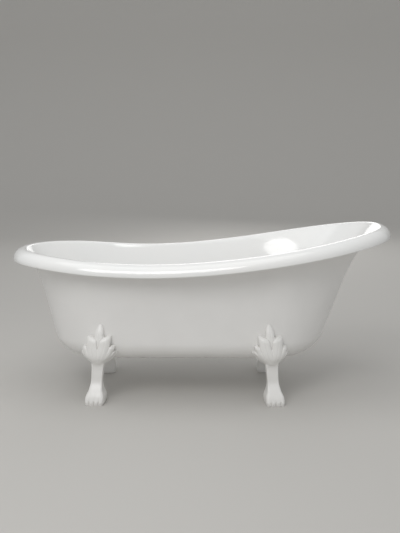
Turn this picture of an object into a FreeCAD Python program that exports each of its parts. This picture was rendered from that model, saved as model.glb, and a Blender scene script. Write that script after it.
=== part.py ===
"""Free-standing slipper bath on four claw feet, as an assembly of separate parts.

Frame: millimetres, +Z up, the origin on the floor under the middle of the bath,
+X towards the raised head end. The driving sizes are cells of the sheet "Sizes".
"""
import FreeCAD, Part
import math
import os
import re
import Sketcher

V = FreeCAD.Vector
doc = FreeCAD.newDocument("SlipperBath")

# --------------------------------------------------------------------------
# Driving sizes
# --------------------------------------------------------------------------
SIZES = [
    # rim, seen from above: its outer edge
    ("bath_length", 1700, "overall length, rim edge to rim edge"),
    ("head_width", 768, "rim width at the head end"),
    ("foot_width", 704, "rim width at the foot end"),
    ("head_curve", 580, "length of the rounded head end of the rim"),
    ("head_fullness", 2.2, "how full the head end is in plan: 2 is an ellipse"),
    ("foot_curve", 450, "length of the rounded foot end of the rim"),
    # rim, seen from the side: its crest
    ("head_height", 762, "crest of the rim at the head end"),
    ("waist_height", 626, "lowest crest of the rim"),
    ("foot_height", 658, "crest of the rim at the foot end"),
    ("waist_setback", 600, "foot end of the rim to its lowest crest"),
    # rolled rim
    ("roll_width", 62, "inner edge to outer edge of the roll"),
    ("roll_round", 48, "crest to outer edge, across"),
    ("roll_depth", 46, "crest to widest point, down"),
    ("lip_length", 4, "straight lip below the widest point"),
    ("edge_drop", 6, "crest to inner edge of the roll, down"),
    # hull
    ("hull_wall", 6.5, "thickness of the casting"),
    ("hull_clearance", 182, "floor to the flat underside"),
    ("bilge_radius", 78.5, "inner radius between floor and wall"),
    ("head_lean", 211, "how far the head wall leans out, floor to rim"),
    ("foot_lean", 113, "how far the foot wall leans out, floor to rim"),
    ("side_lean", 43, "how far the side walls lean out, floor to rim"),
    ("head_tuck", 330.5, "outer edge of the rim to the foot of the head wall, inside"),
    ("foot_tuck", 209.5, "outer edge of the rim to the foot of the foot wall, inside"),
    ("side_tuck", 146, "outer edge of the rim to the foot of the side wall, head end"),
    ("side_tuck_foot", 123, "the same near the foot end"),
    ("flare_start", 0.6, "share of the wall height where it starts to flare"),
    # places of the feet
    ("foot_setback", 395, "foot end of the rim to the ankles of the near pair"),
    ("head_setback", 539, "head end of the rim to the ankles of the near pair"),
    ("foot_splay", 5, "degrees that the paws turn out"),
    ("leg_lean", 5, "degrees that the legs lean out along the bath"),
    ("ankle_inset", 12, "wall at the palmette's tip to the ankle's axis"),
    ("seat_gap", 0.3, "running gap between a foot and the hull"),
    # palmette and leg
    ("palmette_rise", 178, "underside of the hull to the tip of the palmette"),
    ("palmette_width", 144, "width across the lowest leaves"),
    ("palmette_stand", 52, "ankle axis to the front of the knee"),
    ("leaf_relief", 9, "how far the front leaves stand off the ground between them"),
    ("leaf_thick", 9, "thickness of the top leaf at its tip"),
    ("knee_drop", 18, "underside of the hull down to the root of the leaves"),
    ("ankle_width", 50, "width of the ankle"),
    ("ankle_depth", 38, "depth of the ankle"),
    ("ankle_level", 106, "floor to the ankle"),
    # paw
    ("paw_width", 84, "width across the toes"),
    ("paw_front", 52, "ankle axis to the tip of the toes"),
    ("paw_back", 45, "ankle axis to the heel"),
    ("toe_height", 20, "floor to the top of the toes"),
    ("toe_width", 21, "width of one toe"),
    ("toe_gap_depth", 9, "depth of the notches between the toes"),
    # fixing of each foot to the hull
    ("lug_width", 44, "diameter of the lug cast under the hull"),
    ("lug_depth", 8, "how far the lug stands below the hull"),
    ("lug_inset", 108, "ankle axis to the stud, inwards"),
    ("tongue_thick", 12, "thickness of the tongue that the stud holds"),
    ("stud_diameter", 12, "diameter of the stud"),
    ("stud_grip", 11, "how deep the stud is screwed into the lug"),
    ("stud_spare", 4, "stud left below the nut"),
    ("tongue_hole", 14, "hole for the stud in the tongue"),
    ("washer_diameter", 28, "outside of the washer"),
    ("washer_thick", 2.5, "thickness of the washer"),
    ("nut_flats", 19, "width of the nut across its flats"),
    ("nut_height", 10.8, "height of the nut"),
    ("thread_play", 0.05, "radial play of a thread"),
    # waste fitting
    ("waste_setback", 390, "foot end of the rim to the waste"),
    ("waste_hole", 50, "hole in the floor of the bath"),
    ("flange_diameter", 70, "flange of the waste"),
    ("flange_thick", 3, "thickness of the flange"),
    ("tail_diameter", 48.4, "outside of the tail where it passes the hull and the backnut"),
    ("trap_thread", 47.8, "outside of the tail's end, where a trap is screwed on"),
    ("trap_length", 40, "length of that end"),
    ("tail_bore", 39, "bore of the tail"),
    ("tail_drop", 60, "underside of the hull to the end of the tail"),
    ("seal_diameter", 64, "outside of the flat seals"),
    ("seal_play", 0.2, "radial play of a seal on the tail"),
    ("top_seal_thick", 1.5, "seal between flange and enamel"),
    ("under_seal_thick", 4, "seal under the hull"),
    ("backnut_flats", 60, "width of the backnut across its flats"),
    ("backnut_height", 12, "height of the backnut"),
    ("hub_diameter", 17, "hub of the bridge in the tail"),
    ("bridge_height", 6, "height of the bridge"),
    ("bridge_arm", 3, "thickness of an arm of the bridge"),
    ("bridge_level", 30, "underside of the hull to the bottom of the bridge"),
    # click plug
    ("cartridge_diameter", 14, "barrel of the click cartridge"),
    ("cartridge_height", 24, "barrel of the click cartridge"),
    ("spigot_diameter", 8, "screwed end of the cartridge"),
    ("plunger_diameter", 7, "plunger of the click cartridge"),
    ("plunger_hidden", 16, "plunger inside the cartridge when shut"),
    ("slide_play", 0.1, "radial play of the plunger"),
    ("socket_spare", 2, "room under the plunger when shut"),
    ("cap_diameter", 60, "cap of the plug"),
    ("cap_thick", 5, "thickness of the cap"),
    ("plug_seal_thick", 2, "ring under the cap"),
    ("plug_seal_width", 6, "width of the ring under the cap"),
]

sheet = doc.addObject("Spreadsheet::Sheet", "Sizes")
for row, (alias, number, meaning) in enumerate(SIZES, start=1):
    sheet.set("A%d" % row, alias)
    sheet.set("B%d" % row, str(number))
    sheet.set("C%d" % row, meaning)
    sheet.setAlias("B%d" % row, alias)
doc.recompute()

ALIASES = {alias for alias, _, _ in SIZES}


def formula(text):
    """Write the words of a formula as cells of the sheet."""
    return re.sub(r"[a-z_]{3,}", lambda m: "Sizes." + m.group() if m.group() in ALIASES else m.group(), text)


def val(text):
    """Work out a formula now, as a plain number."""
    return float(sheet.evalExpression(formula(text)))


# Levels that several parts share, as formulas of the sheet
FLOOR_TOP = "hull_clearance + hull_wall"
LUG_FACE = "hull_clearance - lug_depth"
TONGUE_FACE = LUG_FACE + " - tongue_thick"
WASHER_FACE = TONGUE_FACE + " - washer_thick"
NUT_FACE = WASHER_FACE + " - nut_height"
FLANGE_FACE = FLOOR_TOP + " + top_seal_thick"
FLANGE_TOP = FLANGE_FACE + " + flange_thick"
UNDER_SEAL_FACE = "hull_clearance - under_seal_thick"
BACKNUT_FACE = UNDER_SEAL_FACE + " - backnut_height"
BRIDGE_FACE = "hull_clearance - bridge_level"
BRIDGE_TOP = BRIDGE_FACE + " + bridge_height"
CARTRIDGE_TOP = BRIDGE_TOP + " + cartridge_height"
CAP_FACE = FLANGE_TOP + " + plug_seal_thick"

# --------------------------------------------------------------------------
# Hull: rings of points in plan, which share their columns
# --------------------------------------------------------------------------
HEAD_COLUMNS, SIDE_COLUMNS, FOOT_COLUMNS = 6, 4, 6
BILGE_STEPS = 3
WALL_SHARES = (0.2, 0.42, 0.62, 0.8, 0.92)
RINGS_BESIDE_FEET = BILGE_STEPS + 4  # rings from the floor's edge to above the palmettes
ROLL_INNER_TURNS = (70, 0)
ROLL_OUTER_TURNS = (65, 40, 18, 0)

half_length = val("bath_length / 2")
head_centre = val("bath_length / 2 - head_curve")
foot_centre = val("foot_curve - bath_length / 2")
floor_top = val(FLOOR_TOP)
wall = val("hull_wall")


def plan_ring(head_run, head_half, foot_run, foot_half, fullness=2):
    """Points and outward directions round one level, anticlockwise from the head end."""
    ring = []
    for i in range(HEAD_COLUMNS):
        ahead, across = math.cos(math.pi / 2 * i / HEAD_COLUMNS), math.sin(math.pi / 2 * i / HEAD_COLUMNS)
        bend = 2 / fullness
        ring.append((head_centre + head_run * ahead ** bend, head_half * across ** bend,
                     head_half * ahead ** (2 - bend), head_run * across ** (2 - bend)))
    for i in range(SIDE_COLUMNS):
        share = i / SIDE_COLUMNS
        ease = share * share * (3 - 2 * share)
        slope = 6 * share * (1 - share) * (foot_half - head_half)
        ring.append((head_centre + (foot_centre - head_centre) * share,
                     head_half + (foot_half - head_half) * ease,
                     slope, head_centre - foot_centre))
    for i in range(FOOT_COLUMNS + 1):
        turn = math.pi / 2 * (1 + i / FOOT_COLUMNS)
        ring.append((foot_centre + foot_run * math.cos(turn), foot_half * math.sin(turn),
                     foot_half * math.cos(turn), foot_run * math.sin(turn)))
    mirrored = [(x, -y, nx, -ny) for x, y, nx, ny in ring[-2:0:-1]]
    return [(V(x, y, 0), V(nx, ny, 0).normalize()) for x, y, nx, ny in ring + mirrored]


def crest(x):
    """Height of the rim's crest at a place along the bath."""
    waist = val("waist_setback - bath_length / 2")
    if x >= waist:
        share = (x - waist) / (half_length - waist)
        rise = share * share * (1.75 - 0.75 * share)
        return val("waist_height") + val("head_height - waist_height") * rise
    share = (waist - x) / (half_length + waist)
    return val("waist_height") + val("foot_height - waist_height") * share * share * (3 - 2 * share)


def wall_sizes(share):
    """Half axes of the wall's plan at a share of its height: head, foot and their half widths."""
    return (val("head_curve - head_tuck") + val("head_lean") * share,
            val("head_width / 2 - side_tuck") + val("side_lean") * share,
            val("foot_curve - foot_tuck") + val("foot_lean") * share,
            val("foot_width / 2 - side_tuck_foot") + val("side_lean") * share)


RIM_PLAN = plan_ring(val("head_curve"), val("head_width / 2"), val("foot_curve"), val("foot_width / 2"),
                     val("head_fullness"))
CREST = [crest(point.x) for point, _ in RIM_PLAN]
LOW_PLAN = plan_ring(*wall_sizes(0))


def bilge_ring(turn):
    """Ring of the round between floor and wall, at a turn of 0 to 90 degrees."""
    radius = val("bilge_radius")
    rise = radius * (1 - math.cos(math.radians(turn)))
    inset = radius * (1 - math.sin(math.radians(turn)))
    ring = []
    for (low, out), top in zip(LOW_PLAN, CREST):
        share = rise / (top - val("edge_drop") - floor_top)
        lean = lean_at(low, share)
        ring.append(low + lean - out * inset + V(0, 0, floor_top + rise))
    return ring


def lean_at(low, share):
    """How far a point of the wall's foot has moved out at a share of the wall's height."""
    x_run, half, foot_run, foot_half = wall_sizes(0)
    if low.x >= head_centre:
        return V((low.x - head_centre) / x_run * val("head_lean") * share,
                 low.y / half * val("side_lean") * share, 0)
    if low.x <= foot_centre:
        return V((low.x - foot_centre) / foot_run * val("foot_lean") * share,
                 low.y / foot_half * val("side_lean") * share, 0)
    return V(0, math.copysign(val("side_lean") * share, low.y), 0)


def wall_ring(share):
    """Ring of the wall between the bilge and the inner edge of the roll."""
    radius = val("bilge_radius")
    start = val("flare_start")
    ring = []
    for (low, _), (rim, out), top in zip(LOW_PLAN, RIM_PLAN, CREST):
        height = top - val("edge_drop") - floor_top
        level = radius / height + (1 - radius / height) * share
        point = low + lean_at(low, level)
        flare = max(0.0, (level - start) / (1 - start)) ** 2
        edge = rim - out * val("roll_width")
        point += (edge - low - lean_at(low, 1)) * flare
        ring.append(point + V(0, 0, floor_top + height * level))
    return ring


def roll_ring(outwards, down):
    """Ring of the rolled rim: a distance in from the outer edge and down from the crest."""
    return [rim - out * outwards + V(0, 0, top - down) for (rim, out), top in zip(RIM_PLAN, CREST)]


def enamel_rings():
    """Rings of the enamelled side: floor edge, wall, over the roll, down to the lip."""
    rings = [bilge_ring(90 * i / BILGE_STEPS) for i in range(BILGE_STEPS + 1)]
    rings += [wall_ring(share) for share in WALL_SHARES]
    rounding, depth = val("roll_round"), val("roll_depth")
    inner = val("roll_width - roll_round")
    for turn in ROLL_INNER_TURNS:
        angle = math.radians(turn)
        rings.append(roll_ring(rounding + inner * math.sin(angle), val("edge_drop") * (1 - math.cos(angle))))
    for turn in ROLL_OUTER_TURNS:
        angle = math.radians(turn)
        rings.append(roll_ring(rounding * (1 - math.cos(angle)), depth * (1 - math.sin(angle))))
    rings.append(roll_ring(0, depth + val("lip_length")))
    return rings


def offset_rings(rings, distance):
    """The same rings moved out through the casting, square to the surface."""
    moved = []
    for i, ring in enumerate(rings):
        below, above = rings[max(i - 1, 0)], rings[min(i + 1, len(rings) - 1)]
        row = []
        for j, point in enumerate(ring):
            along = ring[(j + 1) % len(ring)] - ring[j - 1]
            out = V(0, 0, -1) if i == 0 else along.cross(above[j] - below[j]).normalize()
            row.append(point + out * distance)
        moved.append(row)
    return moved


def ring_wire(points):
    """One smooth closed curve through a ring."""
    curve = Part.BSplineCurve()
    curve.interpolate(Points=points, PeriodicFlag=True)
    return Part.Wire([curve.toShape()])


def hull_casting():
    """The shell of even thickness: enamelled side, painted side and the edges between."""
    rings = enamel_rings()
    inside = [ring_wire(ring) for ring in rings]
    outside = [ring_wire(ring) for ring in offset_rings(rings, wall)]
    faces = Part.makeLoft(inside, False, True).Faces + Part.makeLoft(outside, False, True).Faces
    faces += Part.makeLoft([inside[-1], outside[-1]], False, True).Faces
    faces += [Part.Face(inside[0]), Part.Face(outside[0])]
    shell = Part.makeShell(faces)
    shell.sewShape()
    solid = Part.makeSolid(shell)
    solid.fix(0.01, 0.01, 0.01)
    if solid.Volume < 0:
        solid.reverse()
    return solid


def hull_block(gap):
    """The hull as one filled block, grown by a gap, from its underside to above the feet."""
    rings = offset_rings(enamel_rings()[:RINGS_BESIDE_FEET], wall + gap)
    top = max(point.z for point in rings[-1]) + 10
    lid = [V(point.x, point.y, top) for point in rings[0]]
    return Part.makeLoft([ring_wire(ring) for ring in rings + [lid]], True, True)


# --------------------------------------------------------------------------
# Places of the four feet
# --------------------------------------------------------------------------
def hull_side(x, level):
    """Half width of the painted wall at a place along the bath and a height."""
    share = (level - floor_top) / (crest(x) - val("edge_drop") - floor_top)
    head_run, head_half, foot_run, foot_half = wall_sizes(share)
    if x >= head_centre:
        return head_half * math.sqrt(1 - ((x - head_centre) / head_run) ** 2) + wall
    if x <= foot_centre:
        return foot_half * math.sqrt(1 - ((x - foot_centre) / foot_run) ** 2) + wall
    along = (head_centre - x) / (head_centre - foot_centre)
    return head_half + (foot_half - head_half) * along * along * (3 - 2 * along) + wall


def foot_places():
    """Name and placement of each foot, whose own frame has its toes towards -Y."""
    tip = val("hull_clearance + palmette_rise")
    splay = val("foot_splay")
    places = {}
    for end, x, turn in (("left", val("foot_setback") - half_length, -splay),
                         ("right", half_length - val("head_setback"), splay)):
        reach = hull_side(x, tip) - val("ankle_inset")
        places["front_" + end] = FreeCAD.Placement(V(x, -reach, 0), FreeCAD.Rotation(V(0, 0, 1), turn))
        places["back_" + end] = FreeCAD.Placement(V(x, reach, 0), FreeCAD.Rotation(V(0, 0, 1), 180 - turn))
    return places


FEET = foot_places()


def hand_of(foot):
    """Which way a foot's leg leans in its own frame: +1 or -1."""
    return 1 if foot in ("front_right", "back_left") else -1


def stud_place(foot):
    """Axis of a foot's stud on the floor plane."""
    return FEET[foot].multVec(V(shift(val(TONGUE_FACE), hand_of(foot)), val("lug_inset"), 0))


def bath_shell():
    """The bath itself: hull, four lugs with blind stud holes and the waste hole."""
    solid = hull_casting()
    for foot in FEET:
        centre = stud_place(foot)
        lug = Part.makeCylinder(val("lug_width / 2"), val("lug_depth") + wall / 2,
                                centre + V(0, 0, val(LUG_FACE)))
        solid = solid.fuse(lug)
    for foot in FEET:
        centre = stud_place(foot)
        hole = Part.makeCylinder(val("stud_diameter / 2 + thread_play"), val("stud_grip"),
                                 centre + V(0, 0, val(LUG_FACE)))
        solid = solid.cut(hole)
    waste = Part.makeCylinder(val("waste_hole / 2"), 4 * wall,
                              V(val("waste_setback") - half_length, 0, val("hull_clearance") - wall))
    return solid.cut(waste).removeSplitter()


# --------------------------------------------------------------------------
# Claw foot: a cabriole leg, a palmette of leaves and a paw with toes
# --------------------------------------------------------------------------
BEVEL_TURNS = (30, 60)


def shift(level, side):
    """How far the leg has leant out along the bath at a height, to one hand or the other."""
    return side * math.tan(math.radians(val("leg_lean"))) * (val("ankle_level") - level)


def outline(level, half_width, front, back, bevel, side):
    """Level outline of the foot: a rectangle whose corners have two bevels of fixed directions."""
    corner = [(0.0, 0.0)]
    for turn in BEVEL_TURNS:
        angle = math.radians(turn)
        corner.append((corner[-1][0] + bevel * math.cos(angle), corner[-1][1] + bevel * math.sin(angle)))
    start = half_width - corner[-1][0]
    right = [(start + x, y - front) for x, y in corner] + [(start + x, back - y) for x, y in corner[::-1]]
    return [V(shift(level, side) + x, y, level) for x, y in right + [(-x, y) for x, y in right[::-1]]]


def flat_face(points):
    return Part.Face(Part.makePolygon(points + points[:1]))


def lofted(outlines, side):
    """A solid through level outlines, whose edges keep their directions, so each side is flat."""
    rings = [outline(*sizes, side=side) for sizes in outlines]
    faces = [flat_face(rings[0]), flat_face(rings[-1])]
    for low, high in zip(rings, rings[1:]):
        for i in range(len(low)):
            faces.append(flat_face([low[i - 1], low[i], high[i], high[i - 1]]))
    shell = Part.makeShell(faces)
    shell.sewShape()
    solid = Part.makeSolid(shell)
    if solid.Volume < 0:
        solid.reverse()
    return solid


def leg_outlines():
    """Paw, ankle and shank up into the knee: level, half width, front, back and bevel."""
    ankle, depth = val("ankle_width / 2"), val("ankle_depth / 2")
    level, hull = val("ankle_level"), val("hull_clearance")
    paw, front, back = val("paw_width / 2"), val("paw_front"), val("paw_back")
    knee = hull - level
    return [
        (0, paw * 0.94, front * 0.96, back * 0.98, ankle * 0.34),
        (level * 0.15, paw, front, back, ankle * 0.36),
        (level * 0.34, paw * 0.97, front * 0.93, back * 0.95, ankle * 0.36),
        (level * 0.58, paw * 0.75, front * 0.68, back * 0.7, ankle * 0.32),
        (level * 0.9, ankle, depth, depth, ankle * 0.24),
        (level + 0.3 * knee, ankle, depth, depth * 1.05, ankle * 0.24),
        (level + 0.8 * knee, ankle * 1.1, depth * 1.15, depth * 1.2, ankle * 0.28),
        (hull, ankle * 1.2, depth * 1.5, depth * 1.3, ankle * 0.3),
    ]


def knee_outlines(relief):
    """Bulge of the palmette, the same way; shallower by a relief."""
    hull, rise, drop = val("hull_clearance"), val("palmette_rise"), val("knee_drop")
    stand, half = val("palmette_stand") - relief, val("palmette_width / 2")
    depth, ankle = val("ankle_depth / 2"), val("ankle_width / 2")
    tip = val("ankle_inset + leaf_thick + leaf_relief") - relief
    back = val("bilge_radius")
    return [
        (hull - drop, ankle * 1.1, depth * 1.1, depth, ankle * 0.28),
        (hull - 0.2 * drop, half * 0.72, depth + (stand - depth) * 0.6, depth, half * 0.2),
        (hull + 0.1 * rise, half * 0.95, stand * 0.96, back, half * 0.36),
        (hull + 0.28 * rise, half * 1.06, stand, back, half * 0.48),
        (hull + 0.48 * rise, half * 1.04, stand * 0.97, back, half * 0.5),
        (hull + 0.7 * rise, half * 0.8, tip + (stand - tip) * 0.62, back, half * 0.4),
        (hull + 0.88 * rise, half * 0.5, tip + (stand - tip) * 0.15, back, half * 0.22),
        (hull + rise + 1, half * 0.34, tip - 0.3 * val("leaf_thick"), back, half * 0.12),
    ]


def ribbon(root, bend, tip, root_half, tip_half):
    """Outline of a curved strip from a root to a rounded tip, as points of a plane."""
    end = tip - (tip - bend).normalize() * tip_half
    left, right = [], []
    for share in (0.0, 0.4, 0.75, 1.0):
        centre = root * (1 - share) ** 2 + bend * (2 * share * (1 - share)) + end * share ** 2
        along = ((bend - root) * (1 - share) + (end - bend) * share).normalize()
        half = root_half + (tip_half - root_half) * share
        left.append(centre + V(-along.y, along.x, 0) * half)
        right.append(centre - V(-along.y, along.x, 0) * half)
    rounded = []
    for turn in (45, 0, -45):
        angle = math.radians(turn)
        rounded.append(end + (along * math.cos(angle) + V(-along.y, along.x, 0) * math.sin(angle)) * tip_half)
    return left + rounded + right[::-1]


def fused(shapes):
    return shapes[0].multiFuse(shapes[1:]) if len(shapes) > 1 else shapes[0]


def fan_prism(points, side):
    """A prism through the knee from an outline in front view: across, and up from the hull's underside."""
    hull = val("hull_clearance")
    corners = [V(shift(hull + point.y, side) + point.x, 0, hull + point.y) for point in points]
    return flat_face(corners).extrude(V(0, -val("palmette_width"), 0))


def leaf_tiers(side):
    """The seven leaves in four tiers, each tier cut from a knee of its own depth."""
    rise, half = val("palmette_rise"), val("palmette_width / 2")
    root = V(0, -val("knee_drop") * 0.6, 0)
    tiers = [  # relief, bend across and up, tip across and up, half widths of root and tip
        (0.55, 0.0, 0.4, 0.0, 1.0, 0.2, 0.2),
        (0.0, 0.44, 0.22, 0.46, 0.67, 0.3, 0.26),
        (0.3, 0.66, 0.12, 0.86, 0.46, 0.2, 0.12),
        (0.55, 0.84, -0.02, 1.0, 0.31, 0.16, 0.11),
    ]
    solids = []
    for relief, bend_across, bend_up, tip_across, tip_up, root_half, tip_half in tiers:
        prisms = []
        for hand in ((1, -1) if tip_across else (1,)):
            points = ribbon(root, V(hand * half * bend_across, rise * bend_up, 0),
                            V(hand * half * tip_across, rise * tip_up, 0), half * root_half, half * tip_half)
            prisms.append(fan_prism(points, side))
        knee = lofted(knee_outlines(val("leaf_relief") * relief), side)
        solids += [knee.common(prism) for prism in prisms]
    return solids


def leaf_ground(side):
    """The ground that carries the leaves, inside their outline."""
    rise, half, drop = val("palmette_rise"), val("palmette_width / 2"), val("knee_drop")
    edge = [V(half * 0.36, -0.8 * drop, 0), V(half * 0.86, rise * 0.1, 0), V(half * 0.86, rise * 0.26, 0),
            V(half * 0.6, rise * 0.44, 0), V(half * 0.18, rise * 0.76, 0)]
    points = edge + [V(-point.x, point.y, 0) for point in edge[::-1]]
    return lofted(knee_outlines(val("leaf_relief")), side).common(fan_prism(points, side))


def paw(leg, side):
    """Foot of the leg, with four toes in front of a solid heel."""
    front, half, toe = val("paw_front"), val("paw_width / 2"), val("toe_width / 2")
    top, middle = val("toe_height"), shift(0, side)
    heel = outline(0, half, front - val("toe_gap_depth"), val("paw_back"), val("ankle_width") * 0.18, side)
    solids = [flat_face(heel).extrude(V(0, 0, top))]
    for across, forward in ((0.25, 1.0), (0.74, 0.96)):
        for hand in (1, -1):
            start = V(middle + hand * half * across * 0.8, 0, 0)
            tip = V(middle + hand * half * across, -front * forward, 0)
            strip = ribbon(start, (start + tip) * 0.5, tip, toe, toe)
            solids.append(flat_face(strip).extrude(V(0, 0, top)))
    return leg.common(fused(solids))


def foot_blank(side):
    """One claw foot before its back is fitted to the hull; side is +1 or -1 for its hand."""
    leg = lofted(leg_outlines(), side)
    width = val("paw_width")
    shank = leg.cut(Part.makeBox(4 * width, 4 * width, val("toe_height"), V(-2 * width, -2 * width, 0)))
    inset, radius = val("lug_inset"), val("lug_width / 2")
    level = val(TONGUE_FACE)
    start = shift(level, side)
    tongue = Part.makeBox(2 * radius, inset, val("tongue_thick"), V(start - radius, 0, level))
    rounded = Part.makeCylinder(radius, val("tongue_thick"), V(start, inset, level))
    pieces = [shank, paw(leg, side), leaf_ground(side), tongue, rounded] + leaf_tiers(side)
    hole = Part.makeCylinder(val("tongue_hole / 2"), 3 * val("tongue_thick"),
                             V(start, inset, level - val("tongue_thick")))
    return fused(pieces).removeSplitter().cut(hole)


# --------------------------------------------------------------------------
# Turned and pressed parts, each a body with sketches bound to the sheet
# --------------------------------------------------------------------------
def plane_of(body, role):
    return next(feature for feature in body.Origin.OriginFeatures if feature.Role == role)


def new_body(name, x="0", y="0", level="0"):
    """A body whose place is bound to the sheet."""
    body = doc.addObject("PartDesign::Body", name)
    body.Label = name
    body.setExpression("Placement.Base.x", formula(x))
    body.setExpression("Placement.Base.y", formula(y))
    body.setExpression("Placement.Base.z", formula(level))
    return body


def new_sketch(body, name, role):
    sketch = body.newObject("Sketcher::SketchObject", name)
    sketch.AttachmentSupport = [(plane_of(body, role), "")]
    sketch.MapMode = "FlatFace"
    return sketch


def bound(sketch, constraint, text):
    index = sketch.addConstraint(constraint)
    sketch.setExpression("Constraints[%d]" % index, formula(text))


def polygon(sketch, corners):
    """A closed outline whose corners are formulas of the sheet."""
    points = [V(val(x), val(y), 0) for x, y in corners]
    first = sketch.GeometryCount
    for start, end in zip(points, points[1:] + points[:1]):
        sketch.addGeometry(Part.LineSegment(start, end), False)
    count = len(points)
    for i in range(count):
        sketch.addConstraint(Sketcher.Constraint("Coincident", first + i, 2, first + (i + 1) % count, 1))
    for i, (x, y) in enumerate(corners):
        bound(sketch, Sketcher.Constraint("DistanceX", first + i, 1, points[i].x), x)
        bound(sketch, Sketcher.Constraint("DistanceY", first + i, 1, points[i].y), y)


def circle(sketch, radius):
    """A circle on the sketch's origin."""
    index = sketch.addGeometry(Part.Circle(V(0, 0, 0), V(0, 0, 1), val(radius)), False)
    sketch.addConstraint(Sketcher.Constraint("Coincident", index, 3, -1, 1))
    bound(sketch, Sketcher.Constraint("Radius", index, val(radius)), radius)


def turned(name, corners, x="0", y="0", level="0"):
    """A turned part: its half section of radii and heights, once round."""
    body = new_body(name, x, y, level)
    sketch = new_sketch(body, name + "_section", "XZ_Plane")
    polygon(sketch, corners)
    revolution = body.newObject("PartDesign::Revolution", name + "_turning")
    revolution.Profile = sketch
    revolution.ReferenceAxis = (sketch, ["V_Axis"])
    revolution.Angle = 360
    sketch.Visibility = False
    body.Tip = revolution
    return body


def ring(name, inner, outer, thick, x="0", y="0", level="0"):
    """A flat ring, its underside on the level."""
    corners = [(inner, "0"), (outer, "0"), (outer, thick), (inner, thick)]
    return turned(name, corners, x, y, level)


def hexagon_nut(name, flats, bore, height, x, y, level):
    """A hexagon nut with a round bore."""
    body = new_body(name, x, y, level)
    sketch = new_sketch(body, name + "_outline", "XY_Plane")
    corner, half = "(%s) / 2 / cos(30)" % flats, "(%s) / 2" % flats
    polygon(sketch, [(corner, "0"), (corner + " / 2", half), ("-(" + corner + ") / 2", half),
                     ("-(" + corner + ")", "0"), ("-(" + corner + ") / 2", "-(" + half + ")"),
                     (corner + " / 2", "-(" + half + ")")])
    circle(sketch, bore)
    pad = body.newObject("PartDesign::Pad", name + "_pad")
    pad.Profile = sketch
    pad.setExpression("Length", formula(height))
    body.Tip = pad
    return body


def washer(centre):
    """One of the four flat washers, which share a node."""
    disc = Part.makeCylinder(val("washer_diameter / 2"), val("washer_thick"), centre)
    return disc.cut(Part.makeCylinder(val("stud_diameter / 2 + 0.5"), val("washer_thick"), centre))


def placed(name, shape, placement=None):
    """A part whose shape is set in code, with its own label and placement."""
    feature = doc.addObject("Part::Feature", name)
    feature.Label = name
    feature.Shape = shape
    if placement is not None:
        feature.Placement = placement
    return feature


# --------------------------------------------------------------------------
# The parts
# --------------------------------------------------------------------------
parts = [placed("bath_shell", bath_shell())]

blanks = {side: foot_blank(side) for side in (1, -1)}
block = hull_block(val("seat_gap"))
washers = []
for foot, place in FEET.items():
    fitted = blanks[hand_of(foot)].cut(block.transformed(place.inverse().toMatrix()))
    body = max(fitted.Solids, key=lambda solid: solid.Volume)
    parts.append(placed("foot_" + foot, body, place))
    axis = stud_place(foot)
    at = {"x": repr(axis.x), "y": repr(axis.y)}
    stud_length = "%s + stud_grip - (%s) + stud_spare" % (LUG_FACE, NUT_FACE)
    parts.append(turned("stud_" + foot, [("0", "0"), ("stud_diameter / 2", "0"),
                                         ("stud_diameter / 2", stud_length), ("0", stud_length)],
                        level=NUT_FACE + " - stud_spare", **at))
    washers.append(washer(axis + V(0, 0, val(WASHER_FACE))))
    parts.append(hexagon_nut("nut_" + foot, "nut_flats", "stud_diameter / 2 + thread_play", "nut_height",
                             level=NUT_FACE, **at))

parts.append(placed("foot_washers", Part.makeCompound(washers)))

waste = {"x": "waste_setback - bath_length / 2"}
for name, thick, level in (("waste_top_seal", "top_seal_thick", FLOOR_TOP),
                           ("waste_under_seal", "under_seal_thick", UNDER_SEAL_FACE)):
    parts.append(ring(name, "tail_diameter / 2 + seal_play", "seal_diameter / 2", thick,
                      level=level, **waste))
parts.append(hexagon_nut("waste_backnut", "backnut_flats", "tail_diameter / 2 + thread_play",
                         "backnut_height", level=BACKNUT_FACE, y="0", **waste))

flange_level = FLANGE_FACE + " - (hull_clearance - tail_drop)"
tail = turned("waste_tail", [
    ("tail_bore / 2", "0"), ("trap_thread / 2", "0"), ("trap_thread / 2", "trap_length"),
    ("tail_diameter / 2", "trap_length"), ("tail_diameter / 2", flange_level),
    ("flange_diameter / 2", flange_level), ("flange_diameter / 2", flange_level + " + flange_thick"),
    ("tail_bore / 2", flange_level + " + flange_thick")],
    level="hull_clearance - tail_drop", **waste)
for arm, (half_x, half_y) in {"arm_x": ("tail_bore / 2 + 0.5", "bridge_arm / 2"),
                              "arm_y": ("bridge_arm / 2", "tail_bore / 2 + 0.5")}.items():
    sketch = new_sketch(tail, "bridge_" + arm, "XY_Plane")
    sketch.setExpression("AttachmentOffset.Base.z", formula("tail_drop - bridge_level"))
    polygon(sketch, [(half_x, half_y), ("-(" + half_x + ")", half_y),
                     ("-(" + half_x + ")", "-(" + half_y + ")"), (half_x, "-(" + half_y + ")")])
    pad = tail.newObject("PartDesign::Pad", "bridge_" + arm + "_pad")
    pad.Profile = sketch
    pad.setExpression("Length", formula("bridge_height"))
hub_sketch = new_sketch(tail, "bridge_hub", "XY_Plane")
hub_sketch.setExpression("AttachmentOffset.Base.z", formula("tail_drop - bridge_level"))
circle(hub_sketch, "hub_diameter / 2")
hub = tail.newObject("PartDesign::Pad", "bridge_hub_pad")
hub.Profile = hub_sketch
hub.setExpression("Length", formula("bridge_height"))
bore_sketch = new_sketch(tail, "bridge_bore", "XY_Plane")
bore_sketch.setExpression("AttachmentOffset.Base.z", formula("tail_drop - bridge_level"))
circle(bore_sketch, "spigot_diameter / 2 + thread_play")
bore = tail.newObject("PartDesign::Pocket", "bridge_bore_pocket")
bore.Profile = bore_sketch
bore.Reversed = True
bore.setExpression("Length", formula("bridge_height"))
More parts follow.
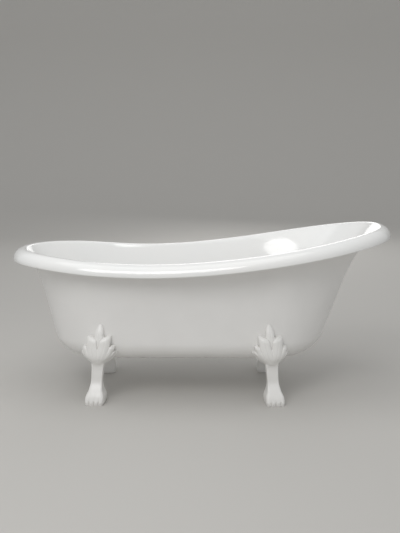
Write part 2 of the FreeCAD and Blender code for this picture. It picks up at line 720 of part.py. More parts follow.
tail.Tip = bore
parts.append(tail)

socket_level = "bridge_height + cartridge_height - plunger_hidden - socket_spare"
parts.append(turned("click_cartridge", [
    ("0", "0"), ("spigot_diameter / 2", "0"), ("spigot_diameter / 2", "bridge_height"),
    ("cartridge_diameter / 2", "bridge_height"),
    ("cartridge_diameter / 2", "bridge_height + cartridge_height"),
    ("plunger_diameter / 2 + slide_play", "bridge_height + cartridge_height"),
    ("plunger_diameter / 2 + slide_play", socket_level), ("0", socket_level)],
    level=BRIDGE_FACE, **waste))
plunger_level = CARTRIDGE_TOP + " - plunger_hidden"
plunger_length = CAP_FACE + " - (" + plunger_level + ")"
parts.append(turned("plug_plunger", [
    ("0", "0"), ("plunger_diameter / 2", "0"), ("plunger_diameter / 2", plunger_length),
    ("0", plunger_length)], level=plunger_level, **waste))
parts.append(turned("plug_cap", [
    ("0", "0"), ("cap_diameter / 2", "0"), ("cap_diameter / 2", "cap_thick"), ("0", "cap_thick")],
    level=CAP_FACE, **waste))
parts.append(ring("plug_seal", "cap_diameter / 2 - plug_seal_width", "cap_diameter / 2 - 1",
                  "plug_seal_thick", level=FLANGE_TOP, **waste))

# --------------------------------------------------------------------------
# Check, then write one file for each part
# --------------------------------------------------------------------------
doc.recompute()
for obj in doc.Objects:
    if "Invalid" in obj.State or "Error" in obj.State:
        raise RuntimeError("%s is %s" % (obj.Label, obj.State))
for part in parts:
    if part.Shape.isNull() or not part.Shape.isValid() or not part.Shape.Solids:
        raise RuntimeError("%s has no sound solid" % part.Label)

os.makedirs("parts", exist_ok=True)
for part in parts:
    part.Shape.exportStep("parts/%s.step" % part.Label)
    print("%-20s %8.1f cm3" % (part.Label, part.Shape.Volume / 1000))
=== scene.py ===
"""Studio scene of a cast-iron slipper bath on four claw feet.

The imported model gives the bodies, the small fittings and the overall box. This
file adds the enamelled hull, the sculpted feet, every finish, and the studio.
Lengths in the fields below are in millimetres; meshes are made in metres.
"""
import logging
import math
from dataclasses import dataclass
from enum import Enum, IntEnum
from typing import Callable, Sequence

import bmesh
import bpy
from mathutils import Matrix, Vector
from mathutils.bvhtree import BVHTree


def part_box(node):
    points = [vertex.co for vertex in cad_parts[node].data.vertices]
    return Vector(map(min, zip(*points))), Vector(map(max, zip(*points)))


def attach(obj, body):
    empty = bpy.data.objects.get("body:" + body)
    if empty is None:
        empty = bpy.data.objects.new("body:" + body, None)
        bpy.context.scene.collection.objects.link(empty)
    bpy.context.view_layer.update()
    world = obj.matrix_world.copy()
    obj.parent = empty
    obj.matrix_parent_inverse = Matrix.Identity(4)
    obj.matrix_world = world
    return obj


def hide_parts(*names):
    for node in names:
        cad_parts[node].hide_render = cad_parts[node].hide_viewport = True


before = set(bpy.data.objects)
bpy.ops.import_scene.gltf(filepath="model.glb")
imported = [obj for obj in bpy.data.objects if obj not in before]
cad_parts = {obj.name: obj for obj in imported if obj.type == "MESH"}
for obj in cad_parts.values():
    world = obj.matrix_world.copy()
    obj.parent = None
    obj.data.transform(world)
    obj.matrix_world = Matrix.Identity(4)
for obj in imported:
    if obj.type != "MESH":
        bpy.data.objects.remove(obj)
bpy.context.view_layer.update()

MM = 0.001
WAVE_RATE = 20.0  # radians per metre of a wave texture at scale 1
TINY = 0.01  # keeps a division finite
LOG = logging.getLogger("bath")
logging.basicConfig(level=logging.INFO, format="%(name)s: %(message)s")

Ring = list[Vector]
Row = tuple[float, ...]
Colour = tuple[float, float, float, float]
Vertices = list[bmesh.types.BMVert]


# ---- Colour and shader helpers
def linear(hex_colour: str) -> Colour:
    """Turn an sRGB hex colour into linear light.

    Args:
        hex_colour: Six hex digits, such as "F2F0EC".

    Returns:
        Linear red, green, blue and an alpha of one.
    """
    channels = [int(hex_colour[i:i + 2], 16) / 255 for i in (0, 2, 4)]
    red, green, blue = (channel / 12.92 if channel <= 0.04045 else ((channel + 0.055) / 1.055) ** 2.4
                        for channel in channels)
    return red, green, blue, 1.0


def add_node(tree: bpy.types.NodeTree, kind: str, values: dict | None = None,
             links: dict | None = None, **settings: object) -> bpy.types.Node:
    """Add one shader node with its settings, socket values and incoming links.

    Args:
        tree: The node tree that gets the node.
        kind: Blender's name of the node type.
        values: Numbers or colours by input socket name or index.
        links: Output sockets by input socket name or index.
        **settings: Attributes of the node itself.

    Returns:
        The new node.
    """
    node = tree.nodes.new(kind)
    for name, setting in settings.items():
        setattr(node, name, setting)
    for socket, value in (values or {}).items():
        node.inputs[socket].default_value = value
    for socket, source in (links or {}).items():
        tree.links.new(source, node.inputs[socket])
    return node


def per_metre(wavelength_mm: float) -> float:
    """Give the texture scale whose features are a wavelength in millimetres apart."""
    return 1 / (wavelength_mm * MM)


@dataclass(frozen=True)
class Clouds:
    """Two shades that drift into each other over a surface."""

    shade: str
    other_shade: str
    cloud_mm: float
    detail: float

    def lay(self, tree: bpy.types.NodeTree,
            point: bpy.types.NodeSocket) -> tuple[bpy.types.NodeSocket, bpy.types.NodeSocket]:
        """Add the shades to a material.

        Args:
            tree: The material's node tree.
            point: Places on the surface, in metres, fixed to the object.

        Returns:
            The clouds, from 0 to 1, and their colour.
        """
        noise = add_node(tree, "ShaderNodeTexNoise",
                         {"Scale": per_metre(self.cloud_mm), "Detail": self.detail},
                         {"Vector": point})
        tint = add_node(tree, "ShaderNodeMix", {6: linear(self.shade), 7: linear(self.other_shade)},
                        {0: noise.outputs["Fac"]}, data_type="RGBA")
        return noise.outputs["Fac"], tint.outputs[2]


@dataclass(frozen=True)
class Waves:
    """Soft unevenness of a surface."""

    pitch_mm: float
    depth_mm: float
    strength: float
    detail: float

    def lay(self, tree: bpy.types.NodeTree, point: bpy.types.NodeSocket,
            below: bpy.types.NodeSocket | None = None) -> bpy.types.NodeSocket:
        """Add the unevenness to a material, on top of another if there is one.

        Args:
            tree: The material's node tree.
            point: Places on the surface, in metres, fixed to the object.
            below: Normal of the coarser unevenness.

        Returns:
            The uneven normal.
        """
        noise = add_node(tree, "ShaderNodeTexNoise",
                         {"Scale": per_metre(self.pitch_mm), "Detail": self.detail},
                         {"Vector": point})
        links = {"Height": noise.outputs["Fac"]} | ({"Normal": below} if below else {})
        bump = add_node(tree, "ShaderNodeBump",
                        {"Strength": self.strength, "Distance": self.depth_mm * MM}, links)
        return bump.outputs["Normal"]


# ---- Finishes
@dataclass(frozen=True)
class Finish:
    """What every finish shares: a named material with a Principled shader to dress."""

    name: str

    def material(self) -> bpy.types.Material:
        """Make the material and dress its shader.

        Returns:
            The finished material.
        """
        material = bpy.data.materials.new(self.name)
        material.use_nodes = True
        tree = material.node_tree
        tree.nodes.clear()
        shader = add_node(tree, "ShaderNodeBsdfPrincipled")
        add_node(tree, "ShaderNodeOutputMaterial", links={"Surface": shader.outputs["BSDF"]})
        self.dress(tree, shader)
        return material

    def dress(self, tree: bpy.types.NodeTree, shader: bpy.types.Node) -> None:
        """Give the shader its sockets' values and textures.

        Args:
            tree: The material's node tree.
            shader: Its Principled shader.
        """
        raise NotImplementedError


@dataclass(frozen=True)
class VitreousEnamel(Finish):
    """Porcelain enamel, dusted as powder on the red-hot iron and fused to glass.

    The eye gets a deep, wet white with sharp highlights, a faint slow waviness
    where the glass has run, and a very slight drift between warm and cool white.
    """

    name: str = "vitreous_enamel"
    white: Clouds = Clouds("F2F1EF", "EEEFEE", 180.0, 1.0)
    run: Waves = Waves(55.0, 1.2, 0.035, 1.0)
    peel: Waves = Waves(5.0, 0.15, 0.03, 0.5)
    roughness: float = 0.12
    ior: float = 1.5
    coat: float = 0.4
    coat_roughness: float = 0.04

    def dress(self, tree: bpy.types.NodeTree, shader: bpy.types.Node) -> None:
        """Colour and wave the glass.

        Args:
            tree: The material's node tree.
            shader: Its Principled shader.
        """
        point = add_node(tree, "ShaderNodeTexCoord").outputs["Object"]
        tree.links.new(self.white.lay(tree, point)[1], shader.inputs["Base Color"])
        run = self.run.lay(tree, point)
        tree.links.new(self.peel.lay(tree, point, run), shader.inputs["Normal"])
        shader.inputs["Roughness"].default_value = self.roughness
        shader.inputs["IOR"].default_value = self.ior
        shader.inputs["Coat Weight"].default_value = self.coat
        shader.inputs["Coat Roughness"].default_value = self.coat_roughness


@dataclass(frozen=True)
class SatinPaint(Finish):
    """Sprayed satin enamel paint over rubbed-down sand-cast iron.

    The eye gets a softer, slightly greyer white than the glass, with broad
    highlights, a fine orange peel and the slow unevenness of the casting.
    Carved pieces also get painted shade: a greyer colour laid into their hollows, where less light reaches.
    """

    name: str = "satin_paint_on_iron"
    white: Clouds = Clouds("F1F0EE", "EAE9E7", 120.0, 3.0)
    cast: Waves = Waves(38.0, 0.8, 0.10, 2.0)
    peel: Waves = Waves(3.2, 0.2, 0.08, 1.0)
    roughness: float = 0.34
    smoother: float = 0.05
    rougher: float = 0.07
    ior: float = 1.48
    # painted shade: a greyer colour laid into hollows, fading in between these two bend values
    painted_hollow_shade: str = ""
    painted_shade_from: float = 0.40
    painted_shade_to: float = 0.50

    def dress(self, tree: bpy.types.NodeTree, shader: bpy.types.Node) -> None:
        """Colour the paint, paint shade into its hollows and roughen it.

        Args:
            tree: The material's node tree.
            shader: Its Principled shader.
        """
        point = add_node(tree, "ShaderNodeTexCoord").outputs["Object"]
        clouds, colour = self.white.lay(tree, point)
        # painted shade: the colour turns greyer where the surface is hollow
        if self.painted_hollow_shade:
            bends = add_node(tree, "ShaderNodeNewGeometry")
            hollows = add_node(tree, "ShaderNodeValToRGB",
                               links={"Fac": bends.outputs["Pointiness"]})
            hollows.color_ramp.elements[0].position = self.painted_shade_from
            hollows.color_ramp.elements[1].position = self.painted_shade_to
            shaded = add_node(tree, "ShaderNodeMix", {6: linear(self.painted_hollow_shade)},
                              {0: hollows.outputs["Color"], 7: colour}, data_type="RGBA")
            colour = shaded.outputs[2]
        gloss = add_node(tree, "ShaderNodeMapRange",
                         {"To Min": self.roughness - self.smoother, "To Max": self.roughness + self.rougher},
                         {"Value": clouds})
        cast = self.cast.lay(tree, point)
        tree.links.new(colour, shader.inputs["Base Color"])
        tree.links.new(gloss.outputs["Result"], shader.inputs["Roughness"])
        tree.links.new(self.peel.lay(tree, point, cast), shader.inputs["Normal"])
        shader.inputs["IOR"].default_value = self.ior


@dataclass(frozen=True)
class PlatedMetal(Finish):
    """A polished or plated metal with faint handling marks.

    The eye gets the metal's own colour in its reflections, blurred a little
    here and there by marks of a cloth's width. Turned metal also has the
    lathe's marks, drawn about six times as coarse as they are so that they show.
    """

    marks: Clouds
    roughness: float
    polished: float = 0.7
    dulled: float = 1.5
    grain_mm: float = 0.0
    grain_depth_mm: float = 0.02
    grain_strength: float = 0.3
    grain_bend: float = 0.4

    def dress(self, tree: bpy.types.NodeTree, shader: bpy.types.Node) -> None:
        """Mark and grain the metal.

        Args:
            tree: The material's node tree.
            shader: Its Principled shader.
        """
        point = add_node(tree, "ShaderNodeTexCoord").outputs["Object"]
        marks, colour = self.marks.lay(tree, point)
        gloss = add_node(tree, "ShaderNodeMapRange",
                         {"To Min": self.roughness * self.polished, "To Max": self.roughness * self.dulled},
                         {"Value": marks})
        tree.links.new(colour, shader.inputs["Base Color"])
        tree.links.new(gloss.outputs["Result"], shader.inputs["Roughness"])
        shader.inputs["Metallic"].default_value = 1.0
        if self.grain_mm:
            rate = per_metre(self.grain_mm) / WAVE_RATE
            grain = add_node(tree, "ShaderNodeTexWave", {"Scale": rate, "Distortion": self.grain_bend},
                             {"Vector": point}, bands_direction="Z")
            bump = add_node(tree, "ShaderNodeBump",
                            {"Strength": self.grain_strength, "Distance": self.grain_depth_mm * MM},
                            {"Height": grain.outputs["Fac"]})
            tree.links.new(bump.outputs["Normal"], shader.inputs["Normal"])


@dataclass(frozen=True)
class MouldedRubber(Finish):
    """Black nitrile rubber, moulded flat and dusted with talc.

    The eye gets a soft, nearly black grey, dry and finely dusted.
    """

    name: str = "moulded_rubber"
    black: Clouds = Clouds("1E1E1F", "3A3A3B", 1.5, 3.0)
    talc: Waves = Waves(1.5, 0.1, 0.2, 3.0)
    roughness: float = 0.62

    def dress(self, tree: bpy.types.NodeTree, shader: bpy.types.Node) -> None:
        """Dust the rubber.

        Args:
            tree: The material's node tree.
            shader: Its Principled shader.
        """
        point = add_node(tree, "ShaderNodeTexCoord").outputs["Object"]
        tree.links.new(self.black.lay(tree, point)[1], shader.inputs["Base Color"])
        tree.links.new(self.talc.lay(tree, point), shader.inputs["Normal"])
        shader.inputs["Roughness"].default_value = self.roughness


@dataclass(frozen=True)
class MattPaper(Finish):
    """Plain studio paper: one even, matt grey."""

    name: str = "backdrop_paper"
    colour: str = "C2C0BC"
    roughness: float = 0.85

    def dress(self, tree: bpy.types.NodeTree, shader: bpy.types.Node) -> None:
        """Colour the paper.

        Args:
            tree: The material's node tree; not used.
            shader: Its Principled shader.
        """
        shader.inputs["Base Color"].default_value = linear(self.colour)
        shader.inputs["Roughness"].default_value = self.roughness


ENAMEL = VitreousEnamel().material()
PAINT = SatinPaint().material()
# the feet's paint has painted shade, ADA9A3, in its hollows
FOOT_PAINT = SatinPaint("satin_paint_on_foot", Clouds("F2F1EF", "EAE9E6", 120.0, 3.0),
                        Waves(14.0, 0.5, 0.10, 2.0), Waves(2.4, 0.2, 0.08, 1.0), 0.30,
                        painted_hollow_shade="ADA9A3").material()
CHROME = PlatedMetal("chromed_brass", Clouds("E4E6E8", "D6D9DC", 9.0, 4.0), 0.07).material()
BRASS = PlatedMetal("turned_brass", Clouds("C9A866", "B08D4C", 6.0, 4.0), 0.26,
                    grain_mm=0.8).material()
ZINC = PlatedMetal("zinc_plated_steel", Clouds("C2C6C8", "A9ABA6", 4.0, 4.0), 0.32).material()
RUBBER = MouldedRubber().material()
PAPER = MattPaper().material()


# ---- Mesh helpers
def mesh_object(name: str, mesh: bmesh.types.BMesh,
                finishes: Sequence[bpy.types.Material]) -> bpy.types.Object:
    """Turn a bmesh into a smoothly shaded object of the scene.

    Args:
        name: Name of the object and its mesh.
        mesh: The geometry in metres, in the frame of the bath. It is freed.
        finishes: Materials, in the order of the faces' indices.

    Returns:
        The linked object.
    """
    data = bpy.data.meshes.new(name)
    mesh.normal_update()
    mesh.to_mesh(data)
    mesh.free()
    for finish in finishes:
        data.materials.append(finish)
    data.shade_smooth()
    piece = bpy.data.objects.new(name, data)
    bpy.context.scene.collection.objects.link(piece)
    return piece


def up(height: float) -> Vector:
    """Give a move straight up."""
    return Vector((0, 0, height))


def turned_rings(centre: Vector, profile: Sequence[tuple[float, float]],
                 columns: int) -> list[Ring]:
    """Turn a profile about an upright axis.

    Args:
        centre: A point on the axis, from which levels are measured.
        profile: Radii and levels.
        columns: Points in each ring.

    Returns:
        One ring for each radius and level.
    """
    turns = [2 * math.pi * i / columns for i in range(columns)]
    return [[centre + Vector((reach * math.cos(turn), reach * math.sin(turn), level))
             for turn in turns] for reach, level in profile]


def skin_rings(mesh: bmesh.types.BMesh, rings: Sequence[Ring], finish: int = 0,
               inwards: bool = False) -> list[Vertices]:
    """Skin closed rings of equal count with four-sided faces.

    Args:
        mesh: The bmesh that gets the faces.
        rings: The rings, in millimetres.
        finish: Material index.
        inwards: Whether the faces look the other way.

    Returns:
        The new vertices, ring by ring.
    """
    rows = [[mesh.verts.new(point * MM) for point in ring] for ring in rings]
    for low, high in zip(rows, rows[1:]):
        count = len(low)
        for i in range(count):
            corners = [low[i], low[(i + 1) % count], high[(i + 1) % count], high[i]]
            face = mesh.faces.new(corners[::-1] if inwards else corners)
            face.material_index = finish
    return rows


def ease(share: float) -> float:
    """Smooth step from 0 to 1."""
    share = min(max(share, 0.0), 1.0)
    return share * share * (3 - 2 * share)


# ---- The hull
class Coat(IntEnum):
    """Which finish a face of the hull has."""

    GLASS = 0
    PAINT = 1


@dataclass
class Hull:
    """The cast-iron bath: glass inside and over the roll, paint outside."""

    bath_length: float = 1700.0
    head_width: float = 768.0
    foot_width: float = 704.0
    head_curve: float = 580.0
    head_fullness: float = 2.2
    foot_curve: float = 450.0
    head_height: float = 762.0
    waist_height: float = 626.0
    foot_height: float = 658.0
    waist_setback: float = 600.0
    crest_haste: float = 0.75  # how soon the crest rises towards the head end
    roll_width: float = 62.0
    roll_round: float = 48.0
    roll_depth: float = 46.0
    lip_length: float = 4.0
    lip_round: float = 1.2
    edge_drop: float = 6.0
    wall: float = 6.5
    clearance: float = 182.0
    bilge_radius: float = 78.5
    head_lean: float = 211.0
    foot_lean: float = 113.0
    side_lean: float = 43.0
    head_tuck: float = 330.5
    foot_tuck: float = 209.5
    side_tuck: float = 146.0
    side_tuck_foot: float = 123.0
    flare_start: float = 0.6
    waste_x: float = -460.0
    waste_radius: float = 25.0
    lug_width: float = 44.0
    lug_depth: float = 8.0
    lug_edge: float = 1.2
    lug_fillet: float = 3.0
    fillet_middle: float = 0.3
    lug_sink: float = 0.2
    stud_hole: float = 6.05
    hole_edge: float = 0.6
    hole_roof: float = 1.0
    # fineness of the mesh, and where its shading breaks
    head_columns: int = 44
    side_columns: int = 30
    foot_columns: int = 44
    lug_columns: int = 64
    bilge_steps: int = 14
    wall_steps: int = 30
    inner_roll_turns: range = range(80, -1, -10)
    outer_roll_turns: range = range(84, -1, -6)
    sharp_angle: float = 50.0

    def __post_init__(self) -> None:
        """Work out the centres of the rounded ends and the shared columns."""
        self.half_length = self.bath_length / 2
        self.head_centre = self.half_length - self.head_curve
        self.foot_centre = self.foot_curve - self.half_length
        self.floor_top = self.clearance + self.wall
        self.rim = self._plan(self.head_curve, self.head_width / 2,
                              self.foot_curve, self.foot_width / 2, self.head_fullness)
        self.low = self._plan(*self._axes(0))
        self.crests = [self.crest(point.x) for point, _ in self.rim]

    def _plan(self, head_run: float, head_half: float, foot_run: float, foot_half: float,
              fullness: float = 2.0) -> list[tuple[Vector, Vector]]:
        """Lay out one level of the bath in plan.

        Args:
            head_run: Length of the rounded head end.
            head_half: Half width at the head end.
            foot_run: Length of the rounded foot end.
            foot_half: Half width at the foot end.
            fullness: How full the head end is: 2 is an ellipse.

        Returns:
            Points and outward directions, anticlockwise from the head end.
        """
        ring = []
        bend = 2 / fullness
        for i in range(self.head_columns):
            turn = math.pi / 2 * i / self.head_columns
            ahead, across = math.cos(turn), math.sin(turn)
            ring.append((self.head_centre + head_run * ahead ** bend, head_half * across ** bend,
                         head_half * ahead ** (2 - bend), head_run * across ** (2 - bend)))
        for i in range(self.side_columns):
            share = i / self.side_columns
            slope = 6 * share * (1 - share) * (foot_half - head_half)
            ring.append((self.head_centre + (self.foot_centre - self.head_centre) * share,
                         head_half + (foot_half - head_half) * ease(share),
                         slope, self.head_centre - self.foot_centre))
        for i in range(self.foot_columns + 1):
            turn = math.pi / 2 * (1 + i / self.foot_columns)
            ring.append((self.foot_centre + foot_run * math.cos(turn), foot_half * math.sin(turn),
                         foot_half * math.cos(turn), foot_run * math.sin(turn)))
        mirrored = [(x, -y, nx, -ny) for x, y, nx, ny in ring[-2:0:-1]]
        return [(Vector((x, y, 0)), Vector((nx, ny, 0)).normalized())
                for x, y, nx, ny in ring + mirrored]

    def crest(self, x: float) -> float:
        """Give how high the rim's crest is.

        Args:
            x: Place along the bath.

        Returns:
            The height, which falls to the waist and rises in one curve to the head end.
        """
        waist = self.waist_setback - self.half_length
        if x >= waist:
            share = (x - waist) / (self.half_length - waist)
            rise = share * share * (1 + self.crest_haste - self.crest_haste * share)
            return self.waist_height + (self.head_height - self.waist_height) * rise
        share = (waist - x) / (self.half_length + waist)
        return self.waist_height + (self.foot_height - self.waist_height) * ease(share)

    def _axes(self, share: float) -> tuple[float, float, float, float]:
        """Give the wall's plan at one level.

        Args:
            share: Share of the wall's height.

        Returns:
            Half axes of its head end, then of its foot end: along and across.
        """
        return (self.head_curve - self.head_tuck + self.head_lean * share,
                self.head_width / 2 - self.side_tuck + self.side_lean * share,
                self.foot_curve - self.foot_tuck + self.foot_lean * share,
                self.foot_width / 2 - self.side_tuck_foot + self.side_lean * share)

    def _lean(self, low: Vector, share: float) -> Vector:
        """Give how far the wall has leant out from its foot.

        Args:
            low: Point at the foot of the wall.
            share: Share of the wall's height.

        Returns:
            The move in plan.
        """
        head_run, head_half, foot_run, foot_half = self._axes(0)
        if low.x >= self.head_centre:
            return Vector(((low.x - self.head_centre) / head_run * self.head_lean * share,
                           low.y / head_half * self.side_lean * share, 0))
        if low.x <= self.foot_centre:
            return Vector(((low.x - self.foot_centre) / foot_run * self.foot_lean * share,
                           low.y / foot_half * self.side_lean * share, 0))
        return Vector((0, math.copysign(self.side_lean * share, low.y), 0))

    def _bilge_ring(self, turn: float) -> Ring:
        """Give one ring of the round between floor and wall.

        Args:
            turn: Degrees up the round, from 0 at the floor to 90 at the wall.

        Returns:
            The ring's points.
        """
        angle = math.radians(turn)
        rise = self.bilge_radius * (1 - math.cos(angle))
        inset = self.bilge_radius * (1 - math.sin(angle))
        ring = []
        for (low, out), top in zip(self.low, self.crests):
            share = rise / (top - self.edge_drop - self.floor_top)
            ring.append(low + self._lean(low, share) - out * inset + up(self.floor_top + rise))
        return ring

    def _wall_ring(self, share: float) -> Ring:
        """Give one ring of the wall.

        Args:
            share: Share of the way from the bilge to the inner edge of the roll.

        Returns:
            The ring's points.
        """
        ring = []
        for (low, _), (rim, out), top in zip(self.low, self.rim, self.crests):
            height = top - self.edge_drop - self.floor_top
            level = self.bilge_radius / height + (1 - self.bilge_radius / height) * share
            flare = max(0.0, (level - self.flare_start) / (1 - self.flare_start)) ** 2
            edge = rim - out * self.roll_width
            point = low + self._lean(low, level) + (edge - low - self._lean(low, 1)) * flare
            ring.append(point + up(self.floor_top + height * level))
        return ring

    def _roll_ring(self, inwards: float, down: float) -> Ring:
        """Give the ring of the roll that far in from its outer edge and down from its crest."""
        return [rim - out * inwards + up(top - down)
                for (rim, out), top in zip(self.rim, self.crests)]

    def enamel_rings(self) -> list[Ring]:
        """Give the enamelled side.

        Returns:
            Its rings from the floor's edge up the wall, over the roll and down to the lip.
        """
        rings = [self._bilge_ring(90 * i / self.bilge_steps) for i in range(self.bilge_steps + 1)]
        rings += [self._wall_ring((i + 1) / (self.wall_steps + 1)) for i in range(self.wall_steps)]
        inner = self.roll_width - self.roll_round
        for turn in self.inner_roll_turns:
            angle = math.radians(turn)
            rings.append(self._roll_ring(self.roll_round + inner * math.sin(angle),
                                         self.edge_drop * (1 - math.cos(angle))))
        for turn in self.outer_roll_turns:
            angle = math.radians(turn)
            rings.append(self._roll_ring(self.roll_round * (1 - math.cos(angle)),
                                         self.roll_depth * (1 - math.sin(angle))))
        rings.append(self._roll_ring(0, self.roll_depth + self.lip_length / 2))
        rings.append(self._roll_ring(self.lip_round, self.roll_depth + self.lip_length))
        return rings

    @staticmethod
    def offset(rings: Sequence[Ring], distance: float) -> list[Ring]:
        """Move rings out through the casting, square to its surface.

        Args:
            rings: Rings of the inner side, from the floor up.
            distance: How far they move.

        Returns:
            Rings of the outer side, of the same counts.
        """
        moved = []
        for i, ring in enumerate(rings):
            below, above = rings[max(i - 1, 0)], rings[min(i + 1, len(rings) - 1)]
            row = []
            for j, point in enumerate(ring):
                along = ring[(j + 1) % len(ring)] - ring[j - 1]
                out = along.cross(above[j] - below[j]).normalized() if i else up(-1)
                row.append(point + out * distance)
            moved.append(row)
        return moved

    def half_width(self, x: float, level: float) -> float:
        """Give how far the painted wall is from the bath's middle line.

        Args:
            x: Place along the bath.
            level: Height above the floor of the room.

        Returns:
            The half width there.
        """
        share = (level - self.floor_top) / (self.crest(x) - self.edge_drop - self.floor_top)
        head_run, head_half, foot_run, foot_half = self._axes(share)
        if x >= self.head_centre:
            return head_half * math.sqrt(1 - ((x - self.head_centre) / head_run) ** 2) + self.wall
        if x <= self.foot_centre:
            return foot_half * math.sqrt(1 - ((x - self.foot_centre) / foot_run) ** 2) + self.wall
        along = (self.head_centre - x) / (self.head_centre - self.foot_centre)
        return head_half + (foot_half - head_half) * ease(along) + self.wall

    def _floor(self, mesh: bmesh.types.BMesh, edge: Vertices, level: float, finish: Coat,
               up: bool) -> Vertices:
        """Fill a floor between its edge and the waste hole.

        Args:
            mesh: The bmesh that gets the faces.
            edge: The floor's outer vertices.
            level: Height of the floor in millimetres.
            finish: Which finish it has.
            up: Whether the floor looks up.

        Returns:
            The vertices round the hole.
        """
        turns = [math.atan2(vertex.co.y, vertex.co.x - self.waste_x * MM) for vertex in edge]
        hole = [mesh.verts.new(Vector((self.waste_x + self.waste_radius * math.cos(turn),
                                       self.waste_radius * math.sin(turn), level)) * MM)
                for turn in turns]
        for i in range(len(edge)):
            corners = [hole[i - 1], hole[i], edge[i], edge[i - 1]]
            face = mesh.faces.new(corners[::-1] if up else corners)
            face.material_index = finish
        return hole

    def painted_skin(self) -> BVHTree:
        """Give the painted side for ray casts.

        Returns:
            A tree of its faces, in metres, looking outwards.
        """
        rings = self.offset(self.enamel_rings(), self.wall)
        count = len(rings[0])
        points = [point * MM for ring in rings for point in ring]
        faces = [[row * count + i, row * count + (i + 1) % count,
                  (row + 1) * count + (i + 1) % count, (row + 1) * count + i]
                 for row in range(len(rings) - 1) for i in range(count)]
        faces.append(list(range(count))[::-1])
        return BVHTree.FromPolygons(points, faces)

    def _lug(self, mesh: bmesh.types.BMesh, centre: Vector) -> None:
        """Add one lug under the hull, with a fillet to it and a blind hole for a stud.

        Args:
            mesh: The bmesh that gets the lug.
            centre: The stud's axis, in millimetres.
        """
        radius, hole, top = self.lug_width / 2, self.stud_hole, self.clearance
        face, fillet = top - self.lug_depth, self.lug_fillet
        middle = self.fillet_middle * fillet
        profile = ((hole, top - self.hole_roof), (hole, face + self.hole_edge),
                   (hole + self.hole_edge, face), (radius - self.lug_edge, face),
                   (radius, face + self.lug_edge), (radius, top - fillet),
                   (radius + middle, top - middle), (radius + fillet, top + self.lug_sink))
        skin_rings(mesh, turned_rings(centre, profile, self.lug_columns), Coat.PAINT)

    def build(self, studs: Sequence[Vector]) -> bpy.types.Object:
        """Skin both sides of the casting, its lip, its floor, the waste hole and the lugs.

        Args:
            studs: Axes of the four studs, in millimetres.

        Returns:
            The hull as one object.
        """
        mesh = bmesh.new()
        inside = self.enamel_rings()
        outside = self.offset(inside, self.wall)
        glass = skin_rings(mesh, inside, Coat.GLASS, inwards=True)
        paint = skin_rings(mesh, outside, Coat.PAINT)
        top = self._floor(mesh, glass[0], self.floor_top, Coat.GLASS, True)
        bottom = self._floor(mesh, paint[0], self.clearance, Coat.PAINT, False)
        for i in range(len(top)):
            for low, high in ((glass[-1], paint[-1]), (top, bottom)):
                edge = mesh.faces.new([low[i - 1], high[i - 1], high[i], low[i]])
                edge.material_index = Coat.PAINT
        bmesh.ops.recalc_face_normals(mesh, faces=mesh.faces)
        for stud in studs:
            self._lug(mesh, stud)
        piece = mesh_object("enamelled_hull", mesh, [ENAMEL, PAINT])
        piece.data.set_sharp_from_angle(angle=math.radians(self.sharp_angle))
        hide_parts("bath_shell")
        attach(piece, "bath")
        LOG.info("hull: %d faces", len(piece.data.polygons))
        return piece


# ---- The claw feet
def smooth_row(rows: Sequence[Row], level: float) -> Row:
    """Read sizes between the rows of a table, along smooth curves.

    Args:
        rows: Rows of a level and the sizes at it, by rising level.
        level: Where to read.

    Returns:
        The sizes at that level.
    """
    high = next((i for i, row in enumerate(rows) if row[0] >= level), len(rows) - 1)
    high = max(high, 1)
    span = rows[high][0] - rows[high - 1][0]
    share = min(max((level - rows[high - 1][0]) / span, 0.0), 1.0)

    def slope(row: int, column: int) -> float:
        """Give how fast a size changes at a row, over the span."""
        before, after = rows[max(row - 1, 0)], rows[min(row + 1, len(rows) - 1)]
        return (after[column] - before[column]) / (after[0] - before[0]) * span

    sizes = []
    for column in range(1, len(rows[0])):
        start, end = rows[high - 1][column], rows[high][column]
        pull = (1 - share) * slope(high - 1, column) - share * slope(high, column)
        bend = (1 - share) * share * pull
        sizes.append(start + (end - start) * ease(share) + bend)
    return tuple(sizes)


@dataclass(frozen=True)
class Leaf:
    """One pair of leaves of the palmette, or its middle leaf.

    Places and widths are shares of the palmette's rise and half width. The cap is
    the stretch that rounds the tip off, in tip half widths; it is blunt above 2.
    A broad leaf is wider on its inner side, and its blunt top slopes down inwards.
    """

    relief: float
    root: tuple[float, float]
    bend: tuple[float, float]
    tip: tuple[float, float]
    root_half: float
    tip_half: float
    cap_long: float
    bluntness: float
    inner: float = 1.0
    slope: float = 0.0


LEAVES = (
    Leaf(0.7, (0.0, 0.0), (0.0, 0.4), (0.0, 1.0), 0.2, 0.24, 2.1, 1.6),
    Leaf(0.0, (0.0, -0.02), (0.40, 0.27), (0.49, 0.70), 0.27, 0.25, 0.9, 2.4, 1.5, 0.4),
    Leaf(0.25, (0.08, -0.01), (0.63, 0.19), (0.87, 0.455), 0.18, 0.14, 0.9, 2.6),
    Leaf(0.45, (0.14, -0.02), (0.68, 0.08), (1.04, 0.30), 0.15, 0.125, 1.0, 2.4),
)


class End(Enum):
    """At which end of the bath a pair of feet stands, and which way along it that is."""

    LEFT = -1
    RIGHT = 1


